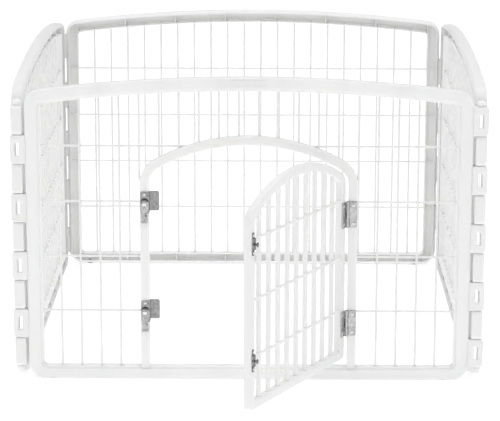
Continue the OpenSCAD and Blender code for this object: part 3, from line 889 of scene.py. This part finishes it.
def door_geo():
    g = Geo()
    rows = [[(x, y, z) for x, z in door_out(d)] for d, y in bar_prof(D_W, FACE_Y, FACE_Y + D_T, 2.0, 1.4)]
    v, f = loft(rows, True, True)
    g.add(v, f)
    q = S_W + GAP + D_W
    for i in range(-4, 5):
        x = i * SLAT_P
        zt = crown_at(x, S_HW - q, ARCH_Z - q, ARCH_R - q, max(3, SH_R - q))
        # slat with rounded long edges, running into the frame top and bottom
        sec = rrect(x - SLAT_W / 2, x + SLAT_W / 2, FACE_Y + 4.5, FACE_Y + 11.5, 1.5, 1.5, 3)
        rows = [[(a, b, z) for a, b in sec] for z in (D_Z + D_W - 2.5, zt + 3)]
        v, f = loft(rows, True, False, True)
        g.add(v, f)
    hw = S_HW - S_W - GAP - D_W
    for z in BAR_Z:
        sec = rrect(FACE_Y + 2, FACE_Y + 8, z - BAR_H / 2, z + BAR_H / 2, 1.6, 1.2, 4)
        rows = [[(x, b, c) for b, c in sec] for x in (-hw - 2, hw + 2)]
        v, f = loft(rows, True, False, True)
        g.add(v, f)
    return g


build("door_grille", door_geo(), "door", DOOR_PL, ["door_frame"], M_DOOR, 32)

# ---------------------------------------------------------------- hardware


def screw_mesh(r, h=0.9, depth=0.62):
    """Pan head with a cross recess, head towards -Y from y = 0."""
    prof = [(0, 0.4), (r * 0.94, 0.4), (r, 0.1), (r, -0.12 * h)]
    for i in range(1, 8):
        a = math.radians(90 * i / 7)
        prof.append((r * math.cos(a) if i < 7 else 0, -0.12 * h - 0.88 * h * math.sin(a)))
    v, f = lathe([(a, -b) for a, b in prof], 32)
    head = tidy([(x, -z, y) for x, y, z in v], f)
    cutters = []
    for k in range(2):
        w, l = r * 0.12, r * 0.58
        y0, y1 = -h - 0.3, -h + depth
        q = [(-l, y0, -w), (l, y0, -w), (l, y0, w), (-l, y0, w), (-l * 0.6, y1, -w * 0.7), (l * 0.6, y1, -w * 0.7), (l * 0.6, y1, w * 0.7), (-l * 0.6, y1, w * 0.7)]
        ff = [(0, 1, 2, 3), (7, 6, 5, 4), (0, 4, 5, 1), (1, 5, 6, 2), (2, 6, 7, 3), (3, 7, 4, 0)]
        m = Matrix.Rotation(math.pi / 2 * k, 4, "Y")
        cutters.append(tidy([tuple(m @ Vector(p)) for p in q], ff))
    return cut(head, cutters)


SCREWS = {r: screw_mesh(r) for r in (3.2, 3.0, 2.7)}


def place_screw(g, r, x, y, z, turn):
    g.add_mesh(SCREWS[r], T(x, y, z) @ Matrix.Rotation(math.radians(turn), 4, "Y"))


def leaf_geo(own, side):
    """Hinge leaf about the pin's axis: plate on the +X side, barrel rolled from the sheet."""
    g = Geo()
    h = 51.0
    out = lambda d: rrect(3.5 + d, 19 - d, -h / 2 + d, h / 2 - d, 0.5, 2.6)
    rows = [[(x, y, z) for x, z in out(d)] for d, y in ((0.3, 1.6), (0.09, 1.69), (0, 1.9), (0, 2.95), (0.1, 3.12), (0.3, 3.2))]
    v, f = loft(rows, True, False, True)
    plate = tidy(v, f)
    g.add_mesh(plate)
    # drawn countersinks under the screw heads
    for s in (-1, 1):
        v, f = lathe([(0, 1.2), (4.1, 1.2), (4.3, 1.35), (4.35, 1.62), (4.3, 1.7), (0, 1.7)], 28)
        g.add([(x, z, y) for x, y, z in v], f, T(11.5, 0, s * 18))
    for z0, z1 in own:
        p = [(4.6, 3.2), (0.55, 3.2)]
        for i in range(25):
            a = math.radians(79 + (386 - 79) * i / 24)
            p.append((3.0 * math.cos(a), 3.0 * math.sin(a)))
        for i in range(25):
            a = math.radians(386 - (386 - 86) * i / 24)
            p.append((1.58 * math.cos(a), 1.58 * math.sin(a)))
        p += [(0.6, 1.6), (4.6, 1.6)]
        n = len(p)
        v = [(x, y, z0) for x, y in p] + [(x, y, z1) for x, y in p]
        f = [tuple(range(n)), tuple(reversed(range(n, 2 * n)))] + [(i, i + n, (i + 1) % n + n, (i + 1) % n) for i in range(n)]
        g.add_mesh(tidy(v, f, 0.14, 1, 50))
    if side < 0:
        q = Geo()
        q.add(g.v, g.f, MIRROR_X)
        return q
    return g


OUTER = ((-25.5, -8.7), (8.7, 25.5))
INNER = ((-8.4, 8.4),)


def pin_geo():
    g = Geo()
    prof = [(0, -26.8)]
    prof += [(1.9, -26.8), (2.3, -26.55), (2.4, -26.2), (2.3, -25.7), (1.5, -25.6), (1.5, 25.6), (2.3, 25.7), (2.4, 26.2), (2.3, 26.55), (1.9, 26.8), (0, 26.8)]
    v, f = lathe(prof, 24)
    g.add(v, f)
    return g


for tag, z in zip(("upper", "lower"), HINGE_Z):
    P = T(PIN_X, PIN_Y, z)
    build("hinge_leaf_post_" + tag, leaf_geo(OUTER, 1), "front_panel", STEEL, ["hinge_post_leaf_" + tag], M_FRONT @ P, 32)
    build("hinge_leaf_door_" + tag, leaf_geo(INNER, -1), "door", STEEL, ["hinge_door_leaf_" + tag], M_DOOR @ P, 32)
    build("hinge_pin_steel_" + tag, pin_geo(), frame["nodes"]["hinge_pin_" + tag]["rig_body"], STEEL, ["hinge_pin_" + tag], M_FRONT @ P, 40)

g, g2 = Geo(), Geo()
for n, z in enumerate(HINGE_Z):
    for s in (-1, 1):
        place_screw(g, 3.2, PIN_X + 11.5, FACE_Y - 1.6, z + s * 18, 20 + 37 * n + 61 * s)
        place_screw(g2, 3.2, PIN_X - 11.5, FACE_Y - 1.6, z + s * 18, 48 + 53 * n + 29 * s)
build("hinge_screws_post", g, "front_panel", SCREW, ["hinge_post_screws"], M_FRONT, 32)
build("hinge_screws_door", g2, "door", SCREW, ["hinge_door_screws"], M_DOOR, 32)


def bend_path(pts, r, n=4):
    """Polyline with its inner corners rounded."""
    res = [pts[0]]
    for a, b, c in zip(pts, pts[1:], pts[2:]):
        a, b, c = Vector(a), Vector(b), Vector(c)
        u, w = (a - b).normalized(), (c - b).normalized()
        ang = u.angle(w)
        t = r / math.tan(ang / 2)
        p0, p1 = b + u * t, b + w * t
        centre = b + (u + w).normalized() * (r / math.sin(ang / 2))
        a0, a1 = (p0 - centre), (p1 - centre)
        for i in range(n + 1):
            k = i / n
            d = (a0 * math.sin((1 - k) * a0.angle(a1)) + a1 * math.sin(k * a0.angle(a1))) / math.sin(a0.angle(a1))
            q = centre + d
            res.append((q.x, q.y))
    res.append(tuple(pts[-1]))
    return res


def dense(path, step=1.0):
    res = [path[0]]
    for a, b in zip(path, path[1:]):
        a, b = Vector(a), Vector(b)
        n = max(1, int(math.ceil((b - a).length / step)))
        for i in range(1, n + 1):
            p = a.lerp(b, i / n)
            res.append((p.x, p.y))
    return res


def sheet_metal(path, t, lo, hi, r0=3.0, r1=3.0, place="xy"):
    """Bent strip of thickness t: path is its middle line; lo(s), hi(s) bound it along the other axis."""
    path = dense(path)
    P = [Vector(p) for p in path]
    s = [0.0]
    for a, b in zip(P, P[1:]):
        s.append(s[-1] + (b - a).length)
    L = s[-1]
    # extra samples give round corners at the two ends
    rows = []
    for i, p in enumerate(P):
        a = P[max(0, i - 1)]
        b = P[min(len(P) - 1, i + 1)]
        tdir = (b - a).normalized()
        n = Vector((-tdir.y, tdir.x)) * (t / 2)
        cutback = 0.0
        for d, r in ((s[i], r0), (L - s[i], r1)):
            if r > 0 and d < r:
                cutback = max(cutback, r - math.sqrt(max(0.0, r * r - (r - d) ** 2)))
        z0, z1 = lo(s[i]) + cutback, hi(s[i]) - cutback
        q, w = p + n, p - n
        if place == "xy":
            rows.append([(q.x, q.y, z0), (q.x, q.y, z1), (w.x, w.y, z1), (w.x, w.y, z0)])
        else:
            rows.append([(z0, q.y, q.x), (z1, q.y, q.x), (z1, w.y, w.x), (z0, w.y, w.x)])
    v, f = loft(rows, True, False, True)
    return tidy(v, f, 0.22, 1, 50)


def bracket_geo():
    g = Geo()
    xi = -S_HW + S_W
    yb = FACE_Y - 0.75
    pts = [(-S_HW + 1, yb), (xi + 0.6, yb), (xi + 0.6, STOP_Y + 0.6), (xi + 19, STOP_Y + 0.6)]
    path = bend_path(pts, 1.3)
    L1 = xi + 0.6 + S_HW - 1 - 1.5
    lo = lambda s: -20 + 2 * min(1, max(0, (s - L1) / 1.5))
    hi = lambda s: 23 - 2 * min(1, max(0, (s - L1) / 1.5))
    g.add_mesh(sheet_metal(path, 1.4, lo, hi, 3.5, 3.5))
    # drawn boss that the lever turns on
    v, f = lathe([(0, 0.9), (6.6, 0.9), (6.6, 1.6), (6.1, 2.0), (6.0, 2.6), (6.0, 4.6), (5.7, 5.1), (5.2, 5.3), (0, 5.3)], 36)
    g.add([(x, -z, y) for x, y, z in v], f, T(POST_X, FACE_Y, 0))
    return g


def rivet_geo():
    g = Geo()
    prof = [(0, 0.2), (2.5, 0.2), (2.5, 7.7), (4.3, 7.7), (4.6, 7.9), (4.5, 8.3)]
    for i in range(1, 6):
        a = math.radians(90 * i / 5)
        prof.append((4.4 * math.cos(a) if i < 5 else 0, 8.3 + 0.9 * math.sin(a)))
    v, f = lathe(prof, 32)
    g.add([(x, -z, y) for x, y, z in v], f)
    return g


def lever_geo():
    """Flat lever: round head, shoulders, neck, flared thumb end, and the hook slot in its side."""
    p = []
    for i in range(25):
        a = math.radians(-14 + (208) * i / 24)
        p.append((8.8 * math.cos(a), 8.8 * math.sin(a)))
    left = [(-8.5, -6), (-8.1, -11.6), (-7.2, -14.2), (-5.9, -16.6), (-5.6, -18), (-5.6, -29.2), (-5.9, -30.6), (-6.8, -32.4), (-7, -33.6), (-7, -36.6),
            (-6.6, -37.8), (-5.4, -38.5)]
    p += left + [(-x, z) for x, z in reversed(left)]
    v, f = prism(p, -7.5, -5.5)
    me = tidy(v, f)
    peg_r = math.hypot(CATCH_X - POST_X, 3)
    peg_a = math.degrees(math.atan2(3, CATCH_X - POST_X))
    cv, cf = cyl(0, 0, -12, 0, 2.56, 28, dome=0.01)
    hole = tidy([(x, z, y) for x, y, z in cv], cf)
    a = math.radians(peg_a - 90)
    px, pz = peg_r * math.cos(a), peg_r * math.sin(a)
    cv, cf = cyl(px, pz, -12, 0, 2.6, 28, dome=0.01)
    sock = tidy([(x, z, y) for x, y, z in cv], cf)
    b = math.radians(peg_a - 90 + 10)
    q = []
    for u, w in ((peg_r - 2.6, -3.4), (peg_r + 2.7, -3.4), (peg_r + 2.7, 8.6), (peg_r - 2.6, 8.6)):
        q.append((u * math.cos(b) - w * math.sin(b), u * math.sin(b) + w * math.cos(b)))
    v, f = prism(q, -12, 0)
    slot = tidy(v, f)
    me = cut(me, [hole, sock, slot])
    g = Geo()
    g.add_mesh(bevelled(me, 0.32, 2, 40), T(0, 0, 0))
    # raised grip ribs across the thumb end
    for z in (-34.2, -36.2):
        g.add_mesh(rbox(-5.6, 5.6, -7.85, -7.2, z - 0.45, z + 0.45, 0.25, 2))
    return g


for tag, z in zip(("upper", "lower"), LATCH_Z):
    P = T(0, 0, z)
    build("latch_keeper_" + tag, bracket_geo(), "front_panel", KEEPER_PAINTED_SHADE, ["latch_bracket_" + tag], M_FRONT @ P, 32)
    build("latch_rivet_head_" + tag, rivet_geo(), frame["nodes"]["latch_rivet_" + tag]["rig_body"], SCREW, ["latch_rivet_" + tag],
          M_FRONT @ T(POST_X, FACE_Y, z), 40)
    build("latch_arm_" + tag, lever_geo(), "latch_" + tag, LEVER, ["latch_lever_" + tag],
          M_FRONT @ T(POST_X, FACE_Y, z), 32)
g = Geo()
for n, z in enumerate(LATCH_Z):
    place_screw(g, 3.0, POST_X, FACE_Y - 1.5, z + 17.5, 33 + 50 * n)
build("latch_screws", g, "front_panel", SCREW, ["latch_bracket_screws"], M_FRONT, 32)


def catch_geo():
    g = Geo()
    y0, y1 = -0.75, -3.75
    pts = [(-21.5, y0), (-10.75, y0), (-10.75, y1), (10.75, y1), (10.75, y0), (21.5, y0)]
    path = bend_path(pts, 1.1)
    g.add_mesh(sheet_metal(path, 1.4, lambda s: -3.5, lambda s: 3.5, 2.6, 2.6, "zy"))
    prof = [(0, -1.0), (2, -1.0), (2, 9.0), (4.1, 9.2), (4.45, 9.45), (4.5, 9.8)]
    for i in range(1, 6):
        a = math.radians(90 * i / 5)
        prof.append((4.4 * math.cos(a) if i < 5 else 0, 9.8 + 1.2 * math.sin(a)))
    v, f = lathe(prof, 28)
    g.add([(x, -z, y) for x, y, z in v], f)
    return g


for tag, z in zip(("upper", "lower"), LATCH_Z):
    build("door_catch_" + tag, catch_geo(), "door", CATCH, ["catch_" + tag], M_DOOR @ T(CATCH_X, FACE_Y, z + 3), 32)
g = Geo()
for n, z in enumerate(LATCH_Z):
    for s in (-1, 1):
        place_screw(g, 2.7, CATCH_X, FACE_Y - 1.5, z + 3 + s * 16.3, 15 + 70 * n + 40 * s)
build("catch_screws_door", g, "door", SCREW, ["catch_screws"], M_DOOR, 32)

# ---------------------------------------------------------------- stage, lights, camera
FLOOR_GLOW = 0.3
bpy.ops.mesh.primitive_plane_add(size=60, location=(0, 8, 0))
floor = bpy.context.object
floor.name = "studio_floor"
m, nt, b = new_mat("studio_floor_white")
co = nt.nodes.new("ShaderNodeTexCoord").outputs["Object"]
nz = noise_node(nt, co, 3.0, 2.0)
rp = ramp(nt, nz.outputs[0], [(0.3, 0.93), (0.7, 0.95)])
nt.links.new(rp.outputs[0], b.inputs["Base Color"])
b.inputs["Roughness"].default_value = 0.9
b.inputs["Emission Color"].default_value = (1, 1, 1, 1)
b.inputs["Emission Strength"].default_value = FLOOR_GLOW
floor.data.materials.append(m)

SKY_LOW, SKY_TOP = 0.315, 1.32
scene = bpy.context.scene
world = bpy.data.worlds.new("studio")
scene.world = world
world.use_nodes = True
wt = world.node_tree
bg = wt.nodes["Background"]
bg.inputs[0].default_value = (1, 1, 1, 1)
# a broad soft ceiling: the light grows from the horizon to overhead
gen = wt.nodes.new("ShaderNodeTexCoord")
sep = wt.nodes.new("ShaderNodeSeparateXYZ")
wt.links.new(gen.outputs["Generated"], sep.inputs[0])
up = wt.nodes.new("ShaderNodeMath")
up.operation = "MAXIMUM"
up.inputs[1].default_value = 0.0
wt.links.new(sep.outputs[2], up.inputs[0])
sq = wt.nodes.new("ShaderNodeMath")
sq.operation = "POWER"
sq.inputs[1].default_value = 2.0
wt.links.new(up.outputs[0], sq.inputs[0])
mad = wt.nodes.new("ShaderNodeMath")
mad.operation = "MULTIPLY_ADD"
mad.inputs[1].default_value = SKY_TOP
mad.inputs[2].default_value = SKY_LOW
wt.links.new(sq.outputs[0], mad.inputs[0])
wt.links.new(mad.outputs[0], bg.inputs[1])


def area(name, loc, target, size, power):
    l = bpy.data.lights.new(name, "AREA")
    l.shape = "RECTANGLE"
    l.size, l.size_y = size
    l.energy = power
    o = bpy.data.objects.new(name, l)
    scene.collection.objects.link(o)
    o.location = loc
    d = Vector(target) - Vector(loc)
    o.rotation_euler = d.to_track_quat("-Z", "Y").to_euler()
    return o


area("front_softbox", (-2.6, -3.4, 2.4), (0, 0, 0.3), (2.4, 1.8), 2.5)

cam = bpy.data.cameras.new("camera")
cam.sensor_fit = "HORIZONTAL"
cam.sensor_width = 36.0
cam.lens = 2215.0 * 36.0 / 500.0
cam.clip_end = 200.0
co_ = bpy.data.objects.new("camera", cam)
scene.collection.objects.link(co_)
pitch, yaw, roll = math.radians(13.363), math.radians(-0.498), math.radians(0.129)
fwd = Vector((math.sin(yaw) * math.cos(pitch), math.cos(yaw) * math.cos(pitch), -math.sin(pitch)))
r_ = Vector((math.cos(yaw), -math.sin(yaw), 0))
u_ = r_.cross(fwd)
r2 = r_ * math.cos(roll) + u_ * math.sin(roll)
u2 = -r_ * math.sin(roll) + u_ * math.cos(roll)
rot = Matrix((r2, u2, -fwd)).transposed().to_4x4()
co_.matrix_world = Matrix.Translation((0.0389, -4.461 + (FRONT_Y + 280.7712) * MM, 1.333)) @ rot
scene.camera = co_

scene.view_settings.view_transform = "Standard"
scene.view_settings.look = "None"
